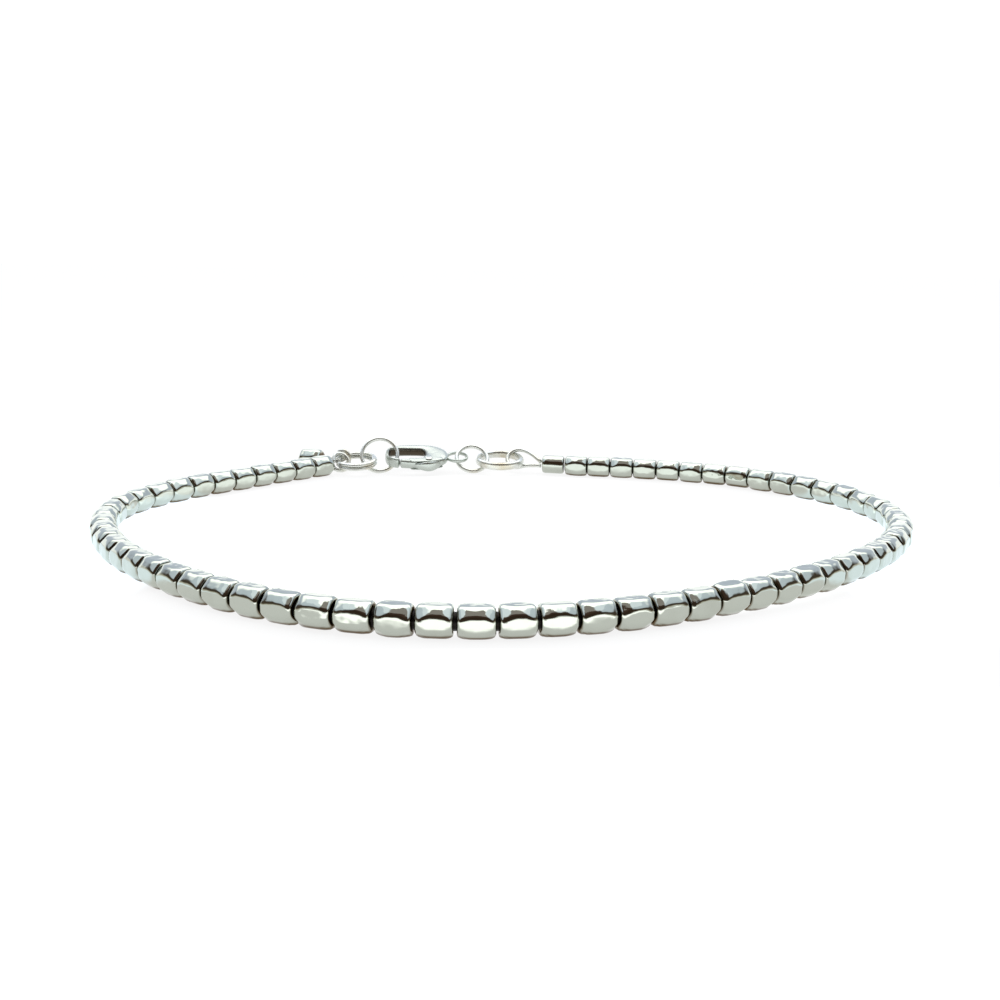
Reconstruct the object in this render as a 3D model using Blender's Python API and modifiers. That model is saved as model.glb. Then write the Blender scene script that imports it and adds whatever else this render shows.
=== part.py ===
"""Nugget bracelet: faceted silver beads on a wire, closed by a lobster claw, lying as a loop.

Metres, +Z up, beads resting on z = 0. The clasp is at the back (+Y), left of the middle.
"""

import math

import bmesh
import bpy
import numpy as np
from mathutils import Euler, Matrix, Vector

MM = 0.001

# The loop in plan: width and depth between the middles of the beads
LOOP_WIDTH = 68.4 * MM
LOOP_DEPTH = 53.1 * MM

# Route of the string round the front, from left to right, between its two ends.
# Columns: across, as a share of half the width; back, as a share of half the depth.
ROUTE = (
    (-0.809, 0.560),
    (-0.996, 0.152),
    (-0.921, -0.312),
    (-0.692, -0.679),
    (-0.385, -0.932),
    (-0.021, -0.996),
    (0.328, -0.865),
    (0.634, -0.613),
    (0.884, -0.275),
    (0.998, 0.176),
    (0.853, 0.611),
    (0.549, 0.872),
)
# The string's ends, so that they keep their place by the closure when the loop's size changes.
# Columns: X and Y in mm, from the back of the loop at the left and from the tail eye at the right.
LEFT_END = ((-19.152, -2.602), (-21.659, -5.185))
RIGHT_END = ((12.118, -0.922), (9.280, -0.285))
ROUTE_STEPS = 40  # straight steps between two route points

# Nugget bead: a square bar with cut long edges, cut end edges and large cut corners
BEAD_LENGTH = 2.40 * MM
BEAD_SIZE = 2.10 * MM
BEAD_EDGE_CUT = 0.46 * MM
BEAD_CORNER_CUT = 0.78 * MM
BEAD_CORNER_RUN = 0.62 * MM
BEAD_END_CUT = 0.14 * MM
BEAD_GAP = 0.05 * MM
BEAD_BORE = 0.62 * MM
STRING_WIRE = 1.20 * MM

# Crimp tube and the wires at the string's ends
CRIMP_LENGTH = 2.40 * MM
CRIMP_DIAMETER = 1.96 * MM
CRIMP_EDGE = 0.24 * MM
CRIMP_SIDES = 16
LOOP_WIRE = 0.38 * MM
LOOP_STRAND_GAP = 0.52 * MM
LOOP_ARC_STEPS = 10
LEFT_LOOP_HALF_WIDTH = 1.05 * MM
LEFT_LOOP_REACH = 1.05 * MM
LEFT_LOOP_TILT = 48.0
LEFT_LOOP_SHIFT = (0.10 * MM, 0.0, 0.0)
RIGHT_LOOP_HALF_WIDTH = 1.20 * MM
RIGHT_LOOP_REACH = 1.20 * MM
RIGHT_LOOP_TILT = 43.0
RIGHT_LOOP_SHIFT = (-0.25 * MM, 0.0, 0.02 * MM)

# Rings of the closure. The left ones are placed from the back of the loop and the right ones
# from the middle of the claw's tail eye. Columns: the place that it is measured from, X, Y and Z
# from it, middle radius, half the wire across the ring and half the wire along the ring's axis,
# all in mm, tilt about X, turn.
RINGS = {
    "ring_left_heavy": ("back", -16.405, -1.371, 1.302, 1.95, 0.30, 0.42, 9.25, 0.0),
    "ring_left_upright": ("back", -14.015, -0.326, 1.812, 1.954, 0.21, 0.21, 54.9, 1.7),
    "ring_right": ("tail", 1.650, 0.021, -0.159, 1.698, 0.18, 0.18, 42.96, 8.6),
    "ring_right_heavy": ("tail", 4.715, 0.009, -0.264, 2.346, 0.32, 0.42, 6.57, 0.0),
}
RING_SEGMENTS = 16
RING_SIDES = 6

# The single bead that hangs on the left heavy ring, and its eyed pin
DROP_MIDDLE = (-21.60 * MM, 0.65 * MM, 1.05 * MM)  # from the back of the loop
DROP_PIN_WIRE = 0.40 * MM
DROP_PIN_HEAD = 0.90 * MM
DROP_PIN_HEAD_HEIGHT = 0.16 * MM
DROP_EYE_RADIUS = 0.76 * MM
DROP_RING_ANGLE = 146.0

# Clearance between pieces that touch on the real bracelet, and in the rivet's holes
CLEARANCE = 0.10 * MM
RIVET_FIT = 0.05 * MM

# Lobster claw: length along X from the nose, width along Y with the lever on the near side
CLAW_NOSE_AT = (-13.373 * MM, -0.44 * MM, 1.668 * MM)  # from the back of the loop
CLAW_TURN = 4.5
CLAW_TILT = 14.0
CLAW_PITCH = 0.5
CLAW_LENGTH = 6.90 * MM
CLAW_WIDTH = 4.60 * MM
CLAW_THICKNESS = 1.12 * MM
CLAW_FAR_WALL = 1.20 * MM
CLAW_NEAR_WALL = 0.85 * MM
CLAW_NOSE_WALL = 0.44 * MM
CLAW_HOLLOW_END = 0.623 * CLAW_LENGTH
CLAW_SHAPE_POWER = 2.4
CLAW_HOLLOW_POWER = 6.0
CLAW_BEVEL = 0.14 * MM
CLAW_SEGMENTS = 40
TAIL_BORE = 1.90 * MM
TAIL_WALL = 0.28 * MM
TAIL_THICKNESS = 0.36 * MM
TAIL_MIDDLE_FROM_HEEL = 0.98 * MM
TAIL_SIDES = 20

# The claw's lever and rivet
PIVOT_FROM_NOSE = 0.6884 * CLAW_LENGTH
PIVOT_FROM_EDGE = 0.65 * MM
GATE_START = 0.232 * CLAW_LENGTH
CHEEK_START = 0.529 * CLAW_LENGTH
SLOT_END = 0.862 * CLAW_LENGTH
SLOT_DEPTH = 1.30 * MM
GATE_THICKNESS = 1.00 * MM
LEVER_THICKNESS = 0.56 * MM
LEVER_EYE_RADIUS = 0.50 * MM
LEVER_INSET = 0.04 * MM
THUMB_FROM_PIVOT = 0.50 * MM
THUMB_RADIUS = 0.50 * MM
RIVET_DIAMETER = 0.44 * MM
RIVET_HEAD = 0.74 * MM
RIVET_HEAD_HEIGHT = 0.10 * MM
RIVET_SIDES = 12

SILVER = {
    "polished_silver": (0.93, 0.93, 0.92, 0.10),
    "bright_silver": (0.95, 0.95, 0.94, 0.07),
}


def clear_scene():
    """Removes every object of the scene."""
    for obj in list(bpy.data.objects):
        bpy.data.objects.remove(obj, do_unlink=True)


def material(name, finish):
    """A Principled material in one of the silver finishes."""
    red, green, blue, roughness = SILVER[finish]
    made = bpy.data.materials.new(name)
    made.use_nodes = True
    shader = made.node_tree.nodes["Principled BSDF"]
    shader.inputs["Base Color"].default_value = (red, green, blue, 1.0)
    shader.inputs["Metallic"].default_value = 1.0
    shader.inputs["Roughness"].default_value = roughness
    return made


def spline_through(points):
    """Points along the natural cubic spline through the given ones, in equal shares of each span."""
    knots = np.asarray(points, float)
    spans = np.linalg.norm(np.diff(knots, axis=0), axis=1)
    count = len(knots)
    system = np.eye(count)
    target = np.zeros_like(knots)
    for i in range(1, count - 1):
        before, after = spans[i - 1], spans[i]
        system[i, i - 1:i + 2] = before, 2.0 * (before + after), after
        target[i] = 6.0 * ((knots[i + 1] - knots[i]) / after - (knots[i] - knots[i - 1]) / before)
    bend = np.linalg.solve(system, target)
    made = []
    for i, span in enumerate(spans):
        last = i == count - 2
        share = np.linspace(0.0, 1.0, ROUTE_STEPS + 1)[:None if last else -1, None]
        rest = 1.0 - share
        made.append(
            rest * knots[i] + share * knots[i + 1]
            + ((rest**3 - rest) * bend[i] + (share**3 - share) * bend[i + 1]) * span**2 / 6.0
        )
    return np.concatenate(made)


def claw_lean():
    """How the claw lies: tilted about X, pitched about Y and turned about Z."""
    return Euler([math.radians(angle) for angle in (CLAW_TILT, CLAW_PITCH, CLAW_TURN)])


def closure_anchor(name):
    """The place that closure pieces are measured from: the loop's back, or the claw's tail eye."""
    back = Vector((0.0, LOOP_DEPTH / 2.0, 0.0))
    if name == "back":
        return back
    tail = Vector((CLAW_LENGTH + TAIL_MIDDLE_FROM_HEEL, 0.0, 0.0))
    return back + Vector(CLAW_NOSE_AT) + claw_lean().to_matrix() @ tail


class Route:
    """The string's middle line in plan, measured by the distance along it."""

    def __init__(self):
        half = np.array([LOOP_WIDTH, LOOP_DEPTH]) / 2.0
        left = np.array(closure_anchor("back"))[:2] + np.array(LEFT_END) * MM
        right = np.array(closure_anchor("tail"))[:2] + np.array(RIGHT_END) * MM
        self.points = spline_through(np.concatenate([left, np.array(ROUTE) * half, right]))
        steps = np.linalg.norm(np.diff(self.points, axis=0), axis=1)
        self.distance = np.concatenate([[0.0], np.cumsum(steps)])
        self.length = self.distance[-1]
        turn = np.unwrap(np.arctan2(*np.gradient(self.points, axis=0).T[::-1]))
        self.bend = np.gradient(turn, self.distance)

    def point(self, distance):
        """The place at this distance from the left end."""
        return np.array([np.interp(distance, self.distance, axis) for axis in self.points.T])

    def pitch(self, distance):
        """The room that a bead takes here: beads touch on the inner side of a bend."""
        inner = BEAD_SIZE / 2.0 - BEAD_END_CUT
        bend = abs(np.interp(distance, self.distance, self.bend))
        return (BEAD_LENGTH + BEAD_GAP) / (1.0 - inner * min(bend, 0.5 / inner))


def string_joints(route):
    """The joints between the beads in plan, from the left end to where the crimp starts."""
    end = route.length - CRIMP_LENGTH - CLEARANCE
    joints = [0.0]
    while joints[-1] + route.pitch(joints[-1]) <= end:
        joints.append(joints[-1] + route.pitch(joints[-1]))
    return [route.point(distance) for distance in joints]


def octagon(size, cut):
    """The corners of a square of this size with its corners cut, as (across, up) pairs."""
    half = size / 2.0
    inner = half - cut
    return [
        (half, -inner), (half, inner), (inner, half), (-inner, half),
        (-half, inner), (-half, -inner), (-inner, -half), (inner, -half),
    ]


def bead_sections(length):
    """The sections of a nugget bead: distance from its middle, size and corner cut."""
    end = length / 2.0
    face = BEAD_SIZE - 2.0 * BEAD_END_CUT
    ends = (
        (end, face, BEAD_CORNER_CUT),
        (end - BEAD_END_CUT, BEAD_SIZE, BEAD_CORNER_CUT),
        (end - BEAD_CORNER_RUN, BEAD_SIZE, BEAD_EDGE_CUT),
    )
    return [(-run, size, cut) for run, size, cut in ends] + list(reversed(ends))


def ring_at(mesh, middle, along, outline):
    """Adds a ring of vertices: an outline set square to a direction at a place."""
    along = Vector(along).normalized()
    across = along.cross(Vector((0.0, 0.0, 1.0)))
    return [
        mesh.verts.new(Vector(middle) + across * side + Vector((0.0, 0.0, height)))
        for side, height in outline
    ]


def loft(mesh, rings):
    """Joins rings of vertices by faces and closes both ends."""
    for first, second in zip(rings, rings[1:]):
        for i in range(len(first)):
            after = (i + 1) % len(first)
            mesh.faces.new((first[i], first[after], second[after], second[i]))
    mesh.faces.new(list(reversed(rings[0])))
    mesh.faces.new(rings[-1])


def new_object(name, mesh, finish, smooth=None):
    """Makes an object from a bmesh, with a finish and round faces shaded smooth below an angle."""
    bmesh.ops.recalc_face_normals(mesh, faces=mesh.faces)
    data = bpy.data.meshes.new(name)
    mesh.to_mesh(data)
    mesh.free()
    return placed(bpy.data.objects.new(name, data), finish, smooth)


def placed(obj, finish, smooth=None):
    """Links an object to the bracelet's collection and gives it its finish."""
    for holder in list(obj.users_collection):
        holder.objects.unlink(obj)
    parts.objects.link(obj)
    obj.data.materials.clear()
    obj.data.materials.append(material(obj.name + "_" + finish, finish))
    if smooth is not None and obj.type == "MESH":
        obj.data.shade_smooth()
        obj.data.set_sharp_from_angle(angle=math.radians(smooth))
    return obj


def make_string(joints):
    """The nugget beads on their wire, as one body, each bead straight from joint to joint."""
    mesh = bmesh.new()
    height = BEAD_SIZE / 2.0
    wire = octagon(STRING_WIRE, STRING_WIRE * (1.0 - math.sqrt(0.5)))
    places = [Vector((x, y, height)) for x, y in joints]
    directions = [(b - a).normalized() for a, b in zip(places, places[1:])]
    rings = []
    for i, place in enumerate(places):
        before = directions[max(i - 1, 0)]
        after = directions[min(i, len(directions) - 1)]
        rings.append(ring_at(mesh, place, before + after, wire))
        if i == len(directions):
            continue
        middle = (place + places[i + 1]) / 2.0
        for run, size, cut in bead_sections(BEAD_LENGTH):
            rings.append(ring_at(mesh, middle + after * run, after, octagon(size, cut)))
    loft(mesh, rings)
    return new_object("bead_string", mesh, "polished_silver")


def turned(name, profile, sides, finish):
    """A turned piece about its own Z axis, from (radius, height) pairs of its outline."""
    mesh = bmesh.new()
    rings = []
    for radius, height in profile:
        outline = circle((0.0, 0.0), radius, sides)
        rings.append([mesh.verts.new((x, y, height)) for x, y in outline])
    loft(mesh, rings)
    return new_object(name, mesh, finish, smooth=40.0)


def circle(middle, radius, count):
    """Points round a circle, as (along, across) pairs."""
    turns = [2.0 * math.pi * i / count for i in range(count)]
    return [(middle[0] + radius * math.cos(a), middle[1] + radius * math.sin(a)) for a in turns]


def arc(middle, radius, first, last, count):
    """Points along an arc between two angles in degrees."""
    turns = [math.radians(first + (last - first) * i / (count - 1)) for i in range(count)]
    return [(middle[0] + radius * math.cos(a), middle[1] + radius * math.sin(a)) for a in turns]


def make_crimp(start, along):
    """The crimp tube: a short round bar with soft ends, in line with the string's last bead."""
    radius = CRIMP_DIAMETER / 2.0
    half = CRIMP_LENGTH / 2.0
    soft = CRIMP_EDGE
    ends = (
        (radius - soft, half),
        (radius - 0.30 * soft, half - 0.30 * soft),
        (radius, half - soft),
    )
    profile = [(size, -height) for size, height in ends] + list(reversed(ends))
    crimp = turned("crimp_tube", profile, CRIMP_SIDES, "bright_silver")
    crimp.location = start + along * (CLEARANCE + half)
    crimp.rotation_euler = (0.0, math.pi / 2.0, math.atan2(along.y, along.x))
    return start + along * (CLEARANCE + CRIMP_LENGTH)


def make_ring(name):
    """A closed ring whose wire may be taller than it is wide."""
    anchor, x, y, z, radius, across, along, tilt, turn = RINGS[name]
    bpy.ops.mesh.primitive_torus_add(
        major_segments=RING_SEGMENTS, minor_segments=RING_SIDES,
        major_radius=radius * MM, minor_radius=across * MM,
    )
    ring = bpy.context.object
    ring.name = name
    ring.data.transform(Matrix.Diagonal((1.0, 1.0, along / across, 1.0)))
    ring.location = closure_anchor(anchor) + Vector((x, y, z)) * MM
    ring.rotation_euler = (math.radians(tilt), 0.0, math.radians(turn))
    return placed(ring, "bright_silver", smooth=60.0)


def on_ring(name, angle):
    """The middle of a ring's wire at an angle in degrees from the ring's own +X."""
    anchor, x, y, z, radius, across, along, tilt, turn = RINGS[name]
    lean = Euler((math.radians(tilt), 0.0, math.radians(turn))).to_matrix()
    side = math.radians(angle)
    reach = lean @ Vector((math.cos(side), math.sin(side), 0.0)) * radius
    return closure_anchor(anchor) + (Vector((x, y, z)) + reach) * MM


def make_wire(name, points, diameter, widths=None):
    """A bent wire through the given points, with closed ends and a width factor for each point."""
    curve = bpy.data.curves.new(name, "CURVE")
    curve.dimensions = "3D"
    curve.bevel_depth = diameter / 2.0
    curve.bevel_resolution = 1
    curve.use_fill_caps = True
    line = curve.splines.new("POLY")
    line.points.add(len(points) - 1)
    for i, place in enumerate(points):
        line.points[i].co = (*place, 1.0)
        line.points[i].radius = widths[i] if widths else 1.0
    return placed(bpy.data.objects.new(name, curve), "bright_silver")


def wire_loop(start, middle, half_width, reach, upright):
    """Points of a wire that leaves a place, goes round a middle and comes back beside itself."""
    along = middle - start
    along = (along - upright * along.dot(upright)).normalized()
    half_gap = LOOP_STRAND_GAP / 2.0
    points = [start + upright * half_gap]
    for i in range(LOOP_ARC_STEPS + 1):
        turn = math.radians(110.0 - 220.0 * i / LOOP_ARC_STEPS)
        run = math.cos(turn) * reach
        points.append(middle + along * run + upright * math.sin(turn) * half_width)
    points.append(start - upright * half_gap)
    return points


def make_left_loop(end, heading):
    """The wire loop that ties the string's left end to the heavy ring, under and over its wire."""
    lean = math.radians(LEFT_LOOP_TILT)
    upright = Vector((0.0, math.cos(lean), math.sin(lean)))
    middle = on_ring("ring_left_heavy", 192.0) + Vector(LEFT_LOOP_SHIFT)
    start = end - heading * (CLEARANCE + LOOP_WIRE)
    points = wire_loop(start, middle, LEFT_LOOP_HALF_WIDTH, LEFT_LOOP_REACH, upright)
    return make_wire("wire_loop_left", points, LOOP_WIRE)


def make_right_loop(end, heading):
    """The wire loop from the crimp round the right heavy ring, leaning away from the front."""
    lean = math.radians(RIGHT_LOOP_TILT)
    upright = Vector((0.0, math.cos(lean), math.sin(lean)))
    middle = on_ring("ring_right_heavy", 15.0) + Vector(RIGHT_LOOP_SHIFT)
    start = end + heading * (CLEARANCE + LOOP_WIRE / 4.0)
    points = wire_loop(start, middle, RIGHT_LOOP_HALF_WIDTH, RIGHT_LOOP_REACH, upright)
    return make_wire("wire_loop_right", points, LOOP_WIRE)


def make_drop():
    """The single nugget bead beside the left heavy ring, and the eyed pin that it hangs on."""
    eye = on_ring("ring_left_heavy", DROP_RING_ANGLE)
    middle = closure_anchor("back") + Vector(DROP_MIDDLE)
    along = Vector((eye.x - middle.x, eye.y - middle.y, 0.0)).normalized()
    mesh = bmesh.new()
    rings = [
        ring_at(mesh, middle + along * run, along, octagon(size, cut))
        for run, size, cut in bead_sections(BEAD_LENGTH)
    ]
    loft(mesh, rings)
    bead = new_object("drop_bead", mesh, "polished_silver")
    bpy.ops.mesh.primitive_cylinder_add(
        vertices=10, radius=BEAD_BORE / 2.0, depth=2.0 * BEAD_LENGTH, location=middle,
        rotation=(0.0, math.pi / 2.0, math.atan2(along.y, along.x)),
    )
    bore = bpy.context.object
    bore.name = "drop_bead_bore"
    boolean(bead, bore, "DIFFERENCE")
    outside = BEAD_LENGTH / 2.0 + CLEARANCE
    head = DROP_PIN_HEAD / DROP_PIN_WIRE
    points = [
        middle - along * (outside + DROP_PIN_HEAD_HEIGHT),
        middle - along * outside,
        middle - along * (outside - 0.02 * MM),
    ]
    widths = [head, head, 1.0]
    points.append(middle + along * outside)
    reach = (Vector((eye.x, eye.y, 0.0)) - Vector((middle.x, middle.y, 0.0))).length
    start = middle + along * (reach - DROP_EYE_RADIUS)
    for i in range(2 * LOOP_ARC_STEPS):
        turn = math.radians(195.0 - 325.0 * i / (2 * LOOP_ARC_STEPS - 1))
        run = along * math.cos(turn) + Vector((0.0, 0.0, 1.0)) * math.sin(turn)
        points.append(eye + run * DROP_EYE_RADIUS)
    widths += [1.0] * (len(points) - len(widths))
    make_wire("drop_pin", points, DROP_PIN_WIRE, widths)


def claw_edge(from_nose):
    """How far the claw's edge is from its middle line, at a distance from the nose."""
    share = abs(2.0 * from_nose / CLAW_LENGTH - 1.0)
    return CLAW_WIDTH / 2.0 * (1.0 - share**CLAW_SHAPE_POWER) ** (1.0 / CLAW_SHAPE_POWER)


def claw_outline(shape_power):
    """The claw's softened rectangle, as distances from the nose and from the middle line."""
    points = []
    for i in range(CLAW_SEGMENTS):
        turn = 2.0 * math.pi * i / CLAW_SEGMENTS
        cosine, sine = math.cos(turn), math.sin(turn)
        power = 2.0 / shape_power
        points.append((
            CLAW_LENGTH / 2.0 * (1.0 + math.copysign(abs(cosine) ** power, cosine)),
            CLAW_WIDTH / 2.0 * math.copysign(abs(sine) ** power, sine),
        ))
    return points


def slab(name, outline, thickness):
    """A closed slab of an outline on the claw, drawn about the rivet's axis."""
    mesh = bmesh.new()
    pivot = (PIVOT_FROM_NOSE, PIVOT_FROM_EDGE - CLAW_WIDTH / 2.0)
    rings = [
        [mesh.verts.new((x - pivot[0], y - pivot[1], height)) for x, y in outline]
        for height in (-thickness / 2.0, thickness / 2.0)
    ]
    loft(mesh, rings)
    bmesh.ops.recalc_face_normals(mesh, faces=mesh.faces)
    data = bpy.data.meshes.new(name)
    mesh.to_mesh(data)
    mesh.free()
    made = bpy.data.objects.new(name, data)
    clasp_pieces.append(made)
    return made


def box_outline(low, high):
    """The four corners of a rectangle."""
    return [(low[0], low[1]), (high[0], low[1]), (high[0], high[1]), (low[0], high[1])]


def boolean(target, tool, operation):
    """Adds or cuts a tool from a target, and keeps the tool as a hidden cutter."""
    tool.hide_render = True
    tool.display_type = "WIRE"
    for holder in list(tool.users_collection):
        holder.objects.unlink(tool)
    cutters.objects.link(tool)
    step = target.modifiers.new(tool.name, "BOOLEAN")
    step.operation = operation
    step.object = tool
    step.solver = "EXACT"


def soften(obj, width):
    """Bevels the sharp edges of a piece."""
    edges = obj.modifiers.new("soft_edges", "BEVEL")
    edges.width = width
    edges.segments = 2
    edges.limit_method = "ANGLE"
    edges.angle_limit = math.radians(40.0)


def make_claw_body():
    """The claw's body: nose and far arm round an open hollow, cheeks for the lever, tail eye."""
    half = CLAW_WIDTH / 2.0
    tall = 3.0 * CLAW_THICKNESS
    body = slab("clasp_body", claw_outline(CLAW_SHAPE_POWER), CLAW_THICKNESS)
    low = (CLAW_NOSE_WALL, CLAW_NEAR_WALL - half)
    high = (CLAW_HOLLOW_END, half - CLAW_FAR_WALL)
    middle = ((low[0] + high[0]) / 2.0, (low[1] + high[1]) / 2.0)
    size = ((high[0] - low[0]) / CLAW_LENGTH, (high[1] - low[1]) / CLAW_WIDTH)
    hollow = [
        (middle[0] + (x - CLAW_LENGTH / 2.0) * size[0], middle[1] + y * size[1])
        for x, y in claw_outline(CLAW_HOLLOW_POWER)
    ]
    soften(body, CLAW_BEVEL)
    boolean(body, slab("claw_hollow", hollow, tall), "DIFFERENCE")
    gate = box_outline((GATE_START, -2.0 * half), (CHEEK_START, middle[1]))
    boolean(body, slab("claw_gate_gap", gate, tall), "DIFFERENCE")
    slot_low = (middle[0], -2.0 * half)
    slot = box_outline(slot_low, (SLOT_END, SLOT_DEPTH - half))
    boolean(body, slab("claw_slot", slot, LEVER_THICKNESS + 2.0 * CLEARANCE), "DIFFERENCE")
    pivot = (PIVOT_FROM_NOSE, PIVOT_FROM_EDGE - half)
    hole = circle(pivot, RIVET_DIAMETER / 2.0 + RIVET_FIT, RIVET_SIDES)
    boolean(body, slab("claw_rivet_hole", hole, tall), "DIFFERENCE")
    tail = (CLAW_LENGTH + TAIL_MIDDLE_FROM_HEEL, 0.0)
    rim = circle(tail, TAIL_BORE / 2.0 + TAIL_WALL, TAIL_SIDES)
    boolean(body, slab("claw_tail", rim, TAIL_THICKNESS), "UNION")
    bore = circle(tail, TAIL_BORE / 2.0, TAIL_SIDES)
    boolean(body, slab("claw_tail_bore", bore, tall), "DIFFERENCE")
    return placed(body, "polished_silver", smooth=35.0)


def make_claw_lever():
    """The claw's lever: a gate along the near edge, an eye on the rivet and a thumb piece."""
    half = CLAW_WIDTH / 2.0
    inner = CLAW_NEAR_WALL - half
    first = GATE_START + CLEARANCE
    last = CHEEK_START - CLEARANCE
    count = 8
    runs = [first + (last - first) * i / (count - 1) for i in range(count)]
    gate = [(run, LEVER_INSET - claw_edge(run)) for run in runs]
    gate += [(last, inner), (first, inner)]
    lever = slab("clasp_lever", gate, GATE_THICKNESS)
    soften(lever, CLAW_BEVEL / 2.0)
    overlap = 1.5 * LEVER_EYE_RADIUS
    outer = [(run, 2.0 * LEVER_INSET - claw_edge(run)) for run in (last - overlap, last, CHEEK_START)]
    pivot = (PIVOT_FROM_NOSE, PIVOT_FROM_EDGE - half)
    thumb = (pivot[0] + THUMB_FROM_PIVOT, LEVER_INSET - claw_edge(pivot[0] + THUMB_FROM_PIVOT))
    arm = outer + arc(thumb, THUMB_RADIUS, 185.0, 380.0, 12)
    arm += arc(pivot, LEVER_EYE_RADIUS, 25.0, 155.0, 8)
    arm += [(last - overlap, inner - LEVER_INSET)]
    boolean(lever, slab("lever_arm", arm, LEVER_THICKNESS), "UNION")
    hole = circle(pivot, RIVET_DIAMETER / 2.0 + RIVET_FIT, RIVET_SIDES)
    boolean(lever, slab("lever_rivet_hole", hole, 3.0 * LEVER_THICKNESS), "DIFFERENCE")
    return placed(lever, "bright_silver", smooth=35.0)


def make_rivet():
    """The rivet: a shank through both cheeks and the lever, with a flat head at each end."""
    shank = RIVET_DIAMETER / 2.0
    head = RIVET_HEAD / 2.0
    under = CLAW_THICKNESS / 2.0 + RIVET_FIT
    ends = ((head, under + RIVET_HEAD_HEIGHT), (head, under), (shank, under))
    profile = [(radius, -height) for radius, height in ends] + list(reversed(ends))
    rivet = turned("clasp_rivet", profile, RIVET_SIDES, "bright_silver")
    clasp_pieces.append(rivet)
    return rivet


def place_clasp():
    """Lays every piece of the clasp at its place, turned and tilted about the rivet's axis."""
    turn = claw_lean()
    pivot = Vector((PIVOT_FROM_NOSE, PIVOT_FROM_EDGE - CLAW_WIDTH / 2.0, 0.0))
    at = closure_anchor("back") + Vector(CLAW_NOSE_AT) + turn.to_matrix() @ pivot
    for piece in clasp_pieces:
        piece.location = at
        piece.rotation_euler = turn


def centre_on_floor():
    """Moves everything so that the origin is the middle of the bracelet's box, on the floor."""
    bpy.context.view_layer.update()
    graph = bpy.context.evaluated_depsgraph_get()
    corners = []
    for obj in parts.objects:
        real = obj.evaluated_get(graph)
        corners += [obj.matrix_world @ vertex.co for vertex in real.to_mesh().vertices]
        real.to_mesh_clear()
    low = Vector([min(corner[axis] for corner in corners) for axis in range(3)])
    high = Vector([max(corner[axis] for corner in corners) for axis in range(3)])
    shift = Vector(((low.x + high.x) / 2.0, (low.y + high.y) / 2.0, 0.0))
    for obj in list(parts.objects) + list(cutters.objects):
        obj.location -= shift


clear_scene()
parts = bpy.data.collections.new("nugget_bracelet")
cutters = bpy.data.collections.new("cutters")
bpy.context.scene.collection.children.link(parts)
bpy.context.scene.collection.children.link(cutters)
clasp_pieces = []

joints = string_joints(Route())
make_string(joints)
places = [Vector((x, y, BEAD_SIZE / 2.0)) for x, y in joints]
crimp_line = (places[-1] - places[-2]).normalized()
crimp_end = make_crimp(places[-1], crimp_line)
for ring_name in RINGS:
    make_ring(ring_name)
make_left_loop(places[0], (places[1] - places[0]).normalized())
make_right_loop(crimp_end, crimp_line)
make_drop()
make_claw_body()
make_claw_lever()
make_rivet()
place_clasp()
centre_on_floor()
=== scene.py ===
"""Nugget bracelet: the detailed look of the faceted silver beads, rings and claw clasp.

Metres, +Z up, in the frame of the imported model. Each sub-assembly is a class that builds its
surfaces with numpy and dresses them; each finish is a small frozen class.
"""

import logging
import math
from dataclasses import dataclass, field
from enum import Enum

import bpy
import numpy as np
from mathutils import Matrix, Vector

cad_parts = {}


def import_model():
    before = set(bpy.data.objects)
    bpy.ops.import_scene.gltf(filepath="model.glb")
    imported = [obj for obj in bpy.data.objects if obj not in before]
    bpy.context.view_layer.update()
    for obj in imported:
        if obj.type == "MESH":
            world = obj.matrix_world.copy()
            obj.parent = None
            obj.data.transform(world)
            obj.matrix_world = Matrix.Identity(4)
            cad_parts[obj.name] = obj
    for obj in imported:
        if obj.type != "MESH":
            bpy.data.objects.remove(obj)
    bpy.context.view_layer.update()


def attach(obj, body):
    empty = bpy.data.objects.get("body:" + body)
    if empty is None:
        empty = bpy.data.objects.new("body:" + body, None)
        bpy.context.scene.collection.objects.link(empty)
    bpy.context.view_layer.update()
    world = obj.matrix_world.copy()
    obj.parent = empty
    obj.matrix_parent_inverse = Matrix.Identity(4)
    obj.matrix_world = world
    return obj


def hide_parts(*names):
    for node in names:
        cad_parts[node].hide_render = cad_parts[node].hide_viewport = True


LOG = logging.getLogger("nugget_bracelet")
MM = 0.001
SEED = 1907
SHIFT = np.array([0.0695, -0.8940, 0.0]) * MM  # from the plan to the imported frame

Socket = bpy.types.NodeSocket
Tree = bpy.types.NodeTree
Color = tuple[float, float, float]
Ramp = tuple[tuple[float, Color], ...]
Pool = tuple[tuple[float, float], tuple[float, float], Color]


# Surfaces


def unit(vectors: np.ndarray) -> np.ndarray:
    """Vectors divided by their lengths along the last axis.

    Args:
        vectors: Array whose last axis holds components.

    Returns:
        Array of the same shape with unit vectors.
    """
    return vectors / np.maximum(np.linalg.norm(vectors, axis=-1, keepdims=True), 1e-12)


def rising(values: np.ndarray, start: float, width: float) -> np.ndarray:
    """Values turned into a straight rise from 0 to 1 that begins at a start and takes a width."""
    return np.clip((values - start) / width, 0.0, 1.0)


def circle(count: int) -> np.ndarray:
    """Evenly spaced angles once round, in radians."""
    return np.linspace(0.0, 2.0 * np.pi, count, endpoint=False)


def superellipse(sides: int, power: float) -> list[np.ndarray]:
    """Points round a superellipse of half size 1: sgnpow(cos a) and sgnpow(sin a) at angle a.

    The function sgnpow keeps a number's sign and raises its size to 2 / power.

    Args:
        sides: Number of points.
        power: The superellipse's power, 2 for an ellipse.

    Returns:
        The points' first and second coordinates.
    """
    ways = np.cos(circle(sides)), np.sin(circle(sides))
    return [np.sign(way) * np.abs(way) ** (2.0 / power) for way in ways]


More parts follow.
